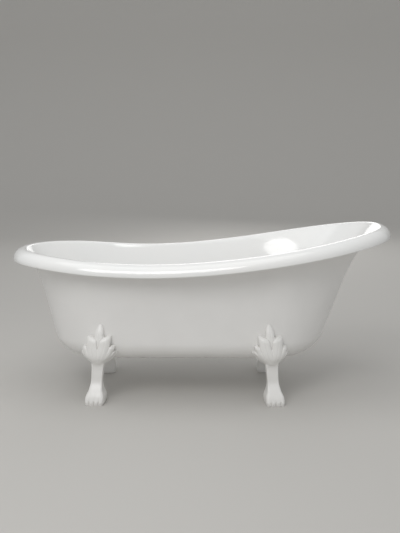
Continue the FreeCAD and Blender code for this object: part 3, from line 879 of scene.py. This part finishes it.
@dataclass
class ClawFoot:
    """A cast claw foot: cabriole leg, toed paw, palmette of seven leaves and fixing tongue.

    Its own frame has the ankle's axis on Z and the toes towards -Y. It is carved
    as overlapping closed forms, fused on a fine grid and softened as a casting is.
    """

    hull: Hull
    end: End
    ankle_x: float
    splay: float = 5.0
    # palmette
    palmette_rise: float = 178.0
    palmette_width: float = 144.0
    palmette_stand: float = 52.0
    bulge_square: float = 2.6
    knee_drop: float = 9.0
    leaf_relief: float = 9.0
    leaf_thick: float = 9.0
    leaf_edge: float = 9.0
    leaf_crown: float = 0.95
    leaf_belly: float = 0.1
    leaf_cap: float = 0.75
    leaf_curl: float = 3.0
    curl_long: float = 0.13
    inner_softness: float = 0.7
    tip_least: float = 0.8
    vein_depth: float = 1.2
    vein_width: float = 0.09
    # leg
    ankle_width: float = 50.0
    ankle_depth: float = 38.0
    ankle_level: float = 106.0
    ankle_inset: float = 12.0
    leg_lean: float = 5.0
    leg_overlap: float = 6.0
    panel_depth: float = 1.4
    panel_start: float = 70.0
    panel_fade: float = 30.0
    panel_half: float = 0.62
    panel_round: float = 0.2
    # paw
    paw_width: float = 84.0
    paw_front: float = 52.0
    paw_back: float = 45.0
    toe_count: int = 4
    toe_height: float = 20.0
    toe_gap_depth: float = 6.0
    toe_gap_top: float = 5.0
    toe_gap_fade: float = 9.0
    tendon_depth: float = 1.2
    tendon_fade: float = 50.0
    knuckle_stand: float = 1.6
    knuckle_level: float = 0.75
    knuckle_long: float = 6.0
    # tongue under the hull
    lug_inset: float = 108.0
    tongue_thick: float = 12.0
    tongue_hole: float = 14.0
    tongue_chamfer: float = 1.5
    tongue_edge: float = 0.6
    # seat against the hull
    seat_gap: float = 0.3
    seat_sink: float = 5.0
    seat_start: float = 6.0
    seat_rise: float = 30.0
    seat_reach: float = 30.0
    least_thick: float = 4.0
    ray_start: float = 300.0
    # fineness of the carving, and softness of the casting
    side_steps: int = 36
    leg_step: float = 2.0
    leaf_grid: tuple[int, int] = (56, 22)
    ground_grid: tuple[int, int] = (48, 40)
    tongue_columns: int = 96
    grid: float = 1.5
    softness: float = 0.5
    softening: int = 4
    sole_snap: float = 1.4

    def __post_init__(self) -> None:
        """Work out where the foot stands."""
        self.hand = self.end.value
        tip = self.hull.clearance + self.palmette_rise
        reach = self.hull.half_width(self.ankle_x, tip) - self.ankle_inset
        self.place = (Matrix.Translation((self.ankle_x, -reach, 0))
                      @ Matrix.Rotation(math.radians(self.hand * self.splay), 4, "Z"))
        self.skin = self.hull.painted_skin()
        self.knee = self._knee_rows()

    def stud(self) -> Vector:
        """Give the axis of the stud, in the frame of the bath."""
        level = self.hull.clearance - self.hull.lug_depth - self.tongue_thick
        return self.place @ Vector((self._shift(level), self.lug_inset, 0))

    def _shift(self, level: float) -> float:
        """Give how far the leg has leant along the bath at a height."""
        return self.hand * math.tan(math.radians(self.leg_lean)) * (self.ankle_level - level)

    def _leg_rows(self) -> list[Row]:
        """Give the leg's outline.

        Returns:
            Rows of a level, and the half width, front, back and squareness there.
        """
        ankle, depth = self.ankle_width / 2, self.ankle_depth / 2
        level, knee = self.ankle_level, self.hull.clearance - self.ankle_level
        paw, front, back = self.paw_width / 2, self.paw_front, self.paw_back
        return [
            (0.0, paw * 0.94, front * 0.96, back * 0.98, 6.0),
            (level * 0.15, paw, front, back, 6.0),
            (level * 0.34, paw * 0.97, front * 0.93, back * 0.95, 6.5),
            (level * 0.58, paw * 0.75, front * 0.68, back * 0.7, 7.0),
            (level * 0.9, ankle, depth, depth, 8.0),
            (level + 0.3 * knee, ankle, depth, depth * 1.05, 8.0),
            (level + 0.8 * knee, ankle * 1.08, depth * 1.1, depth * 1.2, 6.0),
            (self.hull.clearance, ankle * 1.2, depth * 1.4, depth * 1.3, 3.0),
        ]

    def _knee_rows(self) -> list[Row]:
        """Give the outline of the palmette's bulge.

        Returns:
            Rows of a level, and the half width and front there.
        """
        base, rise = self.hull.clearance, self.palmette_rise
        stand, half = self.palmette_stand, self.palmette_width / 2
        depth, ankle = self.ankle_depth / 2, self.ankle_width / 2
        tip = self.ankle_inset + self.leaf_thick + self.leaf_relief
        return [
            (base - self.knee_drop, ankle * 1.05, depth),
            (base + 0.01 * rise, half * 0.47, depth + (stand - depth) * 0.36),
            (base + 0.10 * rise, half * 0.69, depth + (stand - depth) * 0.72),
            (base + 0.17 * rise, half * 0.86, stand * 0.94),
            (base + 0.28 * rise, half * 1.02, stand),
            (base + 0.48 * rise, half * 1.02, stand * 0.97),
            (base + 0.7 * rise, half * 0.8, tip + (stand - tip) * 0.62),
            (base + 0.88 * rise, half * 0.5, tip + (stand - tip) * 0.15),
            (base + rise + 1, half * 0.34, tip - 0.3 * self.leaf_thick),
        ]

    def _bulge(self, across: float, level: float) -> float:
        """Give the stand of the palmette's bulge.

        Args:
            across: Place across the foot.
            level: Height above the floor.

        Returns:
            How far it is in front of the ankle's axis.
        """
        half, front = smooth_row(self.knee, level)
        share = min(abs(across) / half, 1.0)
        return front * (1 - share ** self.bulge_square) ** (1 / self.bulge_square)

    def _seat(self, across: float, level: float) -> float:
        """Give how far back a form reaches.

        Args:
            across: Place across the foot.
            level: Height above the floor.

        Returns:
            The depth, a little into the hull or at the back of the leg, whichever is less.
        """
        start = self.place @ Vector((across + self._shift(level), -self.ray_start, level))
        ahead = (self.place @ Vector((0, 1, 0)) - self.place @ Vector((0, 0, 0))).normalized()
        hit = self.skin.ray_cast(start * MM, ahead)[3]
        deeper = ease((level - self.hull.clearance + self.seat_start) / self.seat_rise)
        limit = self.ankle_depth / 2 + self.hull.bilge_radius * deeper
        return limit if hit is None else min(hit / MM - self.ray_start + self.seat_sink, limit)

    def _paw_relief(self, across: float, level: float, half: float) -> float:
        """Give how deep the paw's front is cut between its toes, and above them its tendons.

        Args:
            across: Place across the paw.
            level: Height above the floor.
            half: The paw's half width at that height.

        Returns:
            The depth, less than none on a knuckle.
        """
        pitch = 2 * half / self.toe_count
        place = (across + half) / pitch
        off_centre = 2 * (place - math.floor(place)) - 1
        above = level - self.toe_height
        notch = 1 - math.sqrt(max(0.0, 1 - off_centre ** 2))
        toes = self.toe_gap_depth * (1 - ease((above + self.toe_gap_top) / self.toe_gap_fade))
        tendons = self.tendon_depth * (1 - ease(above / self.tendon_fade))
        from_knuckle = (level - self.knuckle_level * self.toe_height) / self.knuckle_long
        knuckle = self.knuckle_stand * (1 - off_centre ** 2) * math.exp(-from_knuckle ** 2)
        return notch * max(toes, tendons) - knuckle

    def _leg(self, mesh: bmesh.types.BMesh) -> None:
        """Add the paw, the ankle and the shank as one closed form.

        Args:
            mesh: The bmesh that gets it.
        """
        rows, side, rings = self._leg_rows(), self.side_steps, []
        top = self.hull.clearance + self.leg_overlap
        steps = round(top / self.leg_step)
        for step in range(steps + 1):
            level = top * step / steps
            half, front, back, square = smooth_row(rows, level)
            panel = self.panel_depth * ease((level - self.panel_start) / self.panel_fade)
            ring = []
            for i in range(4 * side):
                edge, share = divmod(i, side)
                share = 2 * share / side - 1
                x, y = ((share, -1), (1, share), (-share, 1), (-1, -share))[edge]
                scale = (abs(x) ** square + abs(y) ** square) ** (-1 / square)
                x, y = x * scale * half, y * scale * (front if y < 0 else back)
                if edge == 0:
                    y += self._paw_relief(x, level, half)
                    y += panel * (1 - ease((abs(x) / half - self.panel_half) / self.panel_round))
                ring.append(Vector((x + self._shift(level), y, level)))
            rings.append(ring)
        rows_of_vertices = skin_rings(mesh, rings)
        mesh.faces.new(rows_of_vertices[0][::-1])
        mesh.faces.new(rows_of_vertices[-1])

    def _slab(self, mesh: bmesh.types.BMesh, spine: Callable[[float], tuple[Vector, Vector, float]],
              front: Callable[[Vector, float, float], float], grid: tuple[int, int]) -> None:
        """Add a closed form between a carved front and the hull behind it.

        Args:
            mesh: The bmesh that gets it.
            spine: Gives centre, sideways direction and half width at a share of its length.
            front: Gives the stand of the front at a point, a share along and a share across.
            grid: Rows along and columns across.
        """
        steps, across = grid
        sheets = []
        for seated in (False, True):
            sheet = []
            for i in range(steps + 1):
                centre, sideways, half = spine(i / steps)
                row = []
                for j in range(across + 1):
                    share = 2 * j / across - 1
                    point = centre + sideways * half * share
                    y = self._seat(point.x, point.y)
                    if not seated:
                        y = min(-front(point, i / steps, share), y - self.least_thick)
                    place = Vector((point.x + self._shift(point.y), y, point.y))
                    row.append(mesh.verts.new(place * MM))
                sheet.append(row)
            sheets.append(sheet)
        for sheet, flip in zip(sheets, (False, True)):
            for low, high in zip(sheet, sheet[1:]):
                for j in range(across):
                    corners = [low[j], low[j + 1], high[j + 1], high[j]]
                    mesh.faces.new(corners[::-1] if flip else corners)
        border = [(0, j) for j in range(across)] + [(i, across) for i in range(steps)]
        border += [(steps, j) for j in range(across, 0, -1)] + [(i, 0) for i in range(steps, 0, -1)]
        carved, back = sheets
        for (a, b), (c, d) in zip(border, border[1:] + border[:1]):
            mesh.faces.new([carved[c][d], carved[a][b], back[a][b], back[c][d]])

    def _ground(self, mesh: bmesh.types.BMesh) -> None:
        """Add the ground that the leaves stand on.

        Args:
            mesh: The bmesh that gets it.
        """
        base, rise, half = self.hull.clearance, self.palmette_rise, self.palmette_width / 2
        edge = [(base - 0.8 * self.knee_drop, half * 0.3), (base + 0.1 * rise, half * 0.6),
                (base + 0.26 * rise, half * 0.84), (base + 0.44 * rise, half * 0.6),
                (base + 0.76 * rise, half * 0.18)]
        start, end = edge[0][0], edge[-1][0]

        def spine(share: float) -> tuple[Vector, Vector, float]:
            """Go straight up the middle."""
            level = start + (end - start) * share
            return Vector((0, level)), Vector((1, 0)), smooth_row(edge, level)[0]

        def front(point: Vector, along: float, across: float) -> float:
            """Stay below the leaves, rounded off at the sides."""
            drop_off = self.leaf_edge * (1 - math.sqrt(1 - (self.leaf_crown * across) ** 2))
            return self._bulge(point.x, point.y) - self.leaf_relief - drop_off

        self._slab(mesh, spine, front, self.ground_grid)

    def _leaf(self, mesh: bmesh.types.BMesh, leaf: Leaf, side: int) -> None:
        """Add one leaf, crowned across and curled out at its rounded tip.

        Args:
            mesh: The bmesh that gets it.
            leaf: Its shape.
            side: Which way it bends: +1 or -1.
        """
        base, rise, half = self.hull.clearance, self.palmette_rise, self.palmette_width / 2
        root_half, tip_half = leaf.root_half * half, leaf.tip_half * half
        root = Vector((side * leaf.root[0] * half, base + leaf.root[1] * rise))
        bend = Vector((side * leaf.bend[0] * half, base + leaf.bend[1] * rise))
        tip = Vector((side * leaf.tip[0] * half, base + leaf.tip[1] * rise))
        heading = (tip - bend).normalized()
        cap_long = leaf.cap_long * tip_half
        inner_fall = 1 / leaf.inner ** self.inner_softness
        end = tip - heading * cap_long
        cap = self.leaf_cap

        def spine(share: float) -> tuple[Vector, Vector, float]:
            """Follow the leaf's middle line, and round its tip off.

            Args:
                share: Share of the leaf's length.

            Returns:
                The centre, the sideways direction and the half width there.
            """
            part, beyond = min(share / cap, 1.0), max(0.0, (share - cap) / (1 - cap))
            centre = root * (1 - part) ** 2 + bend * (2 * part * (1 - part)) + end * part ** 2
            along = ((bend - root) * (1 - part) + (end - bend) * part).normalized()
            width = root_half + (tip_half - root_half) * part
            width += self.leaf_belly * root_half * math.sin(math.pi * part)
            if beyond:
                centre = centre + heading * cap_long * beyond
                narrowed = max(0.0, 1 - beyond ** leaf.bluntness) ** (1 / leaf.bluntness)
                width = max(tip_half * narrowed, self.tip_least)
            sideways = Vector((along.y, -along.x + side * leaf.slope * part ** 2))
            extra = width * (leaf.inner - 1) / 2 * part
            return centre - sideways * side * extra, sideways, width + extra

        def front(point: Vector, along: float, across: float) -> float:
            """Stand on the bulge: crowned and veined, with a curl where the tip begins.

            Args:
                point: Place across the foot and level.
                along: Share of the leaf's length.
                across: Share of its half width, from -1 to 1.

            Returns:
                How far the leaf's front is in front of the ankle's axis.
            """
            beyond = max(0.0, (along - cap) / (1 - cap))
            edge = across * (inner_fall if across * side < 0 else 1.0)
            rim = min(1.0, edge ** 2 * (1 - beyond ** 2) + beyond ** 2)
            drop_off = self.leaf_edge * (1 - math.sqrt(1 - self.leaf_crown * rim))
            curl = self.leaf_curl * math.exp(-((along - cap) / self.curl_long) ** 2)
            vein = self.vein_depth * math.exp(-(across / self.vein_width) ** 2) * (1 - beyond)
            ground = self._bulge(point.x, point.y) - self.leaf_relief * leaf.relief
            return ground - drop_off + curl - vein

        self._slab(mesh, spine, front, self.leaf_grid)

    def _tongue(self, mesh: bmesh.types.BMesh) -> None:
        """Add the tongue that the stud holds, with its hole and broken edges.

        Args:
            mesh: The bmesh that gets it, in the frame of the bath.
        """
        top = self.hull.clearance - self.hull.lug_depth
        bottom, chamfer, edge = top - self.tongue_thick, self.tongue_chamfer, self.tongue_edge
        radius, hole = self.hull.lug_width / 2, self.tongue_hole / 2
        centre = Vector((self._shift(bottom), self.lug_inset, 0))
        turns = [2 * math.pi * i / self.tongue_columns for i in range(self.tongue_columns)]
        reaches = [radius if math.sin(turn) >= 0 else
                   min(radius / max(abs(math.cos(turn)), TINY), self.lug_inset / -math.sin(turn))
                   for turn in turns]

        def ring(inset: float, level: float, bore: bool = False) -> Ring:
            """Give the outline moved in, or the hole moved out."""
            return [self.place @ (centre + Vector((math.cos(turn), math.sin(turn), 0))
                                  * (hole + inset if bore else reach - inset) + up(level))
                    for turn, reach in zip(turns, reaches)]

        skin_rings(mesh, [
            ring(edge, bottom, True), ring(chamfer, bottom), ring(0, bottom + chamfer),
            ring(0, top - edge), ring(edge, top), ring(edge, top, True),
            ring(0, top - edge, True), ring(0, bottom + edge, True), ring(edge, bottom, True)])

    def _cast(self) -> bpy.types.Mesh:
        """Fuse the closed forms on a fine grid and soften them.

        Returns:
            The foot without its tongue, in its own frame, in metres.
        """
        mesh = bmesh.new()
        self._leg(mesh)
        self._ground(mesh)
        for leaf in LEAVES:
            for side in ((1, -1) if leaf.tip[0] else (1,)):
                self._leaf(mesh, leaf, side)
        mould = mesh_object("foot_mould", mesh, [])
        fuse = mould.modifiers.new("fuse", "REMESH")
        fuse.mode = "VOXEL"
        fuse.voxel_size = self.grid * MM
        soften = mould.modifiers.new("soften", "SMOOTH")
        soften.factor = self.softness
        soften.iterations = self.softening
        bpy.context.view_layer.update()
        softened = mould.evaluated_get(bpy.context.evaluated_depsgraph_get())
        cast = bpy.data.meshes.new_from_object(softened)
        data = mould.data
        bpy.data.objects.remove(mould)
        bpy.data.meshes.remove(data)
        return cast

    def build(self) -> None:
        """Cast the near foot, seat it against the hull, and mirror it for the far foot."""
        cast = self._cast()
        mesh = bmesh.new()
        mesh.from_mesh(cast)
        bpy.data.meshes.remove(cast)
        for vertex in mesh.verts:
            if vertex.co.z < self.sole_snap * MM:
                vertex.co.z = 0
            vertex.co = self.place.to_3x3() @ vertex.co + self.place.translation * MM
            near, normal, _, distance = self.skin.find_nearest(vertex.co)
            gap = (vertex.co - near).dot(normal)
            if distance < self.seat_reach * MM and gap < self.seat_gap * MM:
                vertex.co = near + normal * self.seat_gap * MM
        self._tongue(mesh)
        far = mesh.copy()
        for vertex in far.verts:
            vertex.co.y = -vertex.co.y
        bmesh.ops.reverse_faces(far, faces=far.faces)
        for side, half in (("front", mesh), ("back", far)):
            name = f"foot_{side}_{self.end.name.lower()}"
            piece = mesh_object(f"cast_{name}", half, [FOOT_PAINT])
            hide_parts(name)
            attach(piece, "bath")
            LOG.info("%s: %d faces", piece.name, len(piece.data.polygons))


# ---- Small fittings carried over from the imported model
class FittingFinish(Enum):
    """What each small fitting is made of, by the start of its node's name."""

    CHROMED = ("waste_tail",)
    BRASS = ("waste_backnut", "click_cartridge", "plug_plunger")
    ZINC = ("stud_", "nut_", "foot_washers")
    RUBBER = ("waste_top_seal", "waste_under_seal", "plug_seal")


FINISH_OF = {FittingFinish.CHROMED: CHROME, FittingFinish.BRASS: BRASS,
             FittingFinish.ZINC: ZINC, FittingFinish.RUBBER: RUBBER}


@dataclass
class Fittings:
    """Studs, nuts, washers and the parts of the waste, as imported."""

    edge: float = 0.5
    edge_steps: int = 2
    edge_angle: float = 40.0

    def build(self) -> None:
        """Give each fitting its finish, and break the edges of the hard ones."""
        for name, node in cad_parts.items():
            for kind, finish in FINISH_OF.items():
                if name.startswith(kind.value):
                    for slot in node.material_slots:
                        slot.material = finish
                    if kind is not FittingFinish.RUBBER:
                        self._break_edges(node)
                    LOG.info("%s: %s", name, finish.name)

    def _break_edges(self, node: bpy.types.Object) -> None:
        """Add a small round to a fitting's edges.

        Args:
            node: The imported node's object.
        """
        bevel = node.modifiers.new("broken_edges", "BEVEL")
        bevel.width = self.edge * MM
        bevel.segments = self.edge_steps
        bevel.limit_method = "ANGLE"
        bevel.angle_limit = math.radians(self.edge_angle)


@dataclass
class PlugCap:
    """The domed, chromed cap of the click plug, turned from brass bar."""

    radius: float = 30.0
    thick: float = 5.0
    edge: float = 1.6
    dome_fullness: float = 2.4
    groove_radius: float = 24.5
    groove_depth: float = 0.5
    groove_width: float = 0.8
    # from the top of the edge to the underside: distance in, and share of the edge's height
    edge_round: tuple[tuple[float, float], ...] = (
        (0.05, 1.0), (0.0, 0.6), (0.15, 0.1875), (0.5, 0.0))
    dome_steps: int = 24
    columns: int = 96
    sharp_angle: float = 60.0

    def build(self) -> None:
        """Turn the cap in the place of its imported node."""
        low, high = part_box("plug_cap")
        centre = Vector(((low[0] + high[0]) / 2, (low[1] + high[1]) / 2, low[2])) / MM
        profile = []
        for share in (i / self.dome_steps for i in range(1, self.dome_steps)):
            dome = self.edge + (self.thick - self.edge) * math.sqrt(1 - share ** self.dome_fullness)
            from_groove = (self.radius * share - self.groove_radius) / self.groove_width
            groove = self.groove_depth * math.exp(-from_groove ** 2)
            profile.append((self.radius * share, dome - groove))
        profile += [(self.radius - inset, self.edge * share) for inset, share in self.edge_round]
        mesh = bmesh.new()
        rows = skin_rings(mesh, turned_rings(centre, profile, self.columns), inwards=True)
        mesh.faces.new(rows[0])
        mesh.faces.new(rows[-1][::-1])
        piece = mesh_object("domed_plug_cap", mesh, [CHROME])
        piece.data.set_sharp_from_angle(angle=math.radians(self.sharp_angle))
        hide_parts("plug_cap")
        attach(piece, "plug")
        LOG.info("%s: %d faces", piece.name, len(piece.data.polygons))


# ---- Studio
@dataclass(frozen=True)
class Lamp:
    """A soft round lamp: its place, size and target in metres, its power in watts."""

    name: str
    place: tuple[float, float, float]
    size: float
    power: float
    target: tuple[float, float, float]


LAMPS = (
    Lamp("key", (-0.6, -0.8, 3.4), 3.2, 27.0, (0.0, 0.1, 0.4)),
    Lamp("front", (-1.2, -3.3, 3.2), 2.0, 45.0, (0.0, 0.0, 0.5)),
    Lamp("back", (0.5, 4.9, 2.3), 3.2, 38.0, (0.0, 0.0, 0.3)),
)


@dataclass
class Studio:
    """Plain pale floor that sweeps up far behind the bath, soft lamps and the camera. In metres."""

    floor_half: float = 10.0
    floor_front: float = -8.0
    sweep_start: float = 5.0
    sweep_radius: float = 2.4
    sweep_steps: int = 16
    wall_height: float = 6.0
    lamp_colour: tuple[float, float, float] = (1.0, 0.995, 0.988)
    sky_colour: str = "F2F3F4"
    sky_strength: float = 0.6
    camera_place: tuple[float, float, float] = (-0.0055, -3.606, 1.188)
    camera_pitch: float = 80.2
    focal_pixels: float = 800.9
    picture_height: int = 533
    sensor: float = 36.0
    farthest_view: float = 50.0

    def build(self) -> None:
        """Set up floor, lamps, sky and camera."""
        self._backdrop()
        for lamp in LAMPS:
            self._hang(lamp)
        self._sky()
        self._camera()

    def _backdrop(self) -> None:
        """Make the floor and the backdrop in one sweep of matt paper."""
        turns = [math.pi / 2 * i / self.sweep_steps for i in range(1, self.sweep_steps + 1)]
        profile = [(self.floor_front, 0.0), (self.sweep_start, 0.0)]
        profile += [(self.sweep_start + self.sweep_radius * math.sin(turn),
                     self.sweep_radius * (1 - math.cos(turn))) for turn in turns]
        profile.append((self.sweep_start + self.sweep_radius, self.wall_height))
        mesh = bmesh.new()
        left, right = ([mesh.verts.new((side, y, z)) for y, z in profile]
                       for side in (-self.floor_half, self.floor_half))
        for i in range(len(profile) - 1):
            mesh.faces.new([left[i], right[i], right[i + 1], left[i + 1]])

        mesh_object("backdrop", mesh, [PAPER])

    def _hang(self, lamp: Lamp) -> None:
        """Hang a lamp, which lights the bath but is not seen itself.

        Args:
            lamp: Its place, size, power and target.
        """
        light = bpy.data.lights.new(lamp.name, "AREA")
        light.shape = "DISK"
        light.size = lamp.size
        light.energy = lamp.power
        light.color = self.lamp_colour
        holder = bpy.data.objects.new(lamp.name, light)
        holder.location = lamp.place
        holder.visible_camera = False
        aim = Vector(lamp.target) - Vector(lamp.place)
        holder.rotation_euler = aim.to_track_quat("-Z", "Y").to_euler()
        bpy.context.scene.collection.objects.link(holder)

    def _sky(self) -> None:
        """Fill the room with even light."""
        world = bpy.data.worlds.new("studio_sky")
        bpy.context.scene.world = world
        world.use_nodes = True
        sky = world.node_tree.nodes["Background"]
        sky.inputs["Color"].default_value = linear(self.sky_colour)
        sky.inputs["Strength"].default_value = self.sky_strength

    def _camera(self) -> None:
        """Place the camera as the photograph was taken."""
        lens = bpy.data.cameras.new("camera")
        lens.sensor_width = self.sensor
        lens.lens = self.focal_pixels / self.picture_height * self.sensor
        lens.clip_end = self.farthest_view
        holder = bpy.data.objects.new("camera", lens)
        holder.location = self.camera_place
        holder.rotation_euler = (math.radians(self.camera_pitch), 0, 0)
        bpy.context.scene.collection.objects.link(holder)
        bpy.context.scene.camera = holder


FOOT_SETBACK = 395.0  # foot end of the rim to the ankles of the near pair
HEAD_SETBACK = 539.0  # head end of the rim to the ankles of the near pair


def main() -> None:
    """Build every sub-assembly and dress it."""
    bpy.context.scene.view_settings.view_transform = "Standard"
    hull = Hull()
    feet = [ClawFoot(hull, End.LEFT, FOOT_SETBACK - hull.half_length),
            ClawFoot(hull, End.RIGHT, hull.half_length - HEAD_SETBACK)]
    studs = [foot.stud() for foot in feet]
    hull.build(studs + [Vector((stud.x, -stud.y, 0)) for stud in studs])
    for sub_assembly in (*feet, PlugCap(), Fittings(), Studio()):
        sub_assembly.build()


if __name__ == "__main__":
    main()
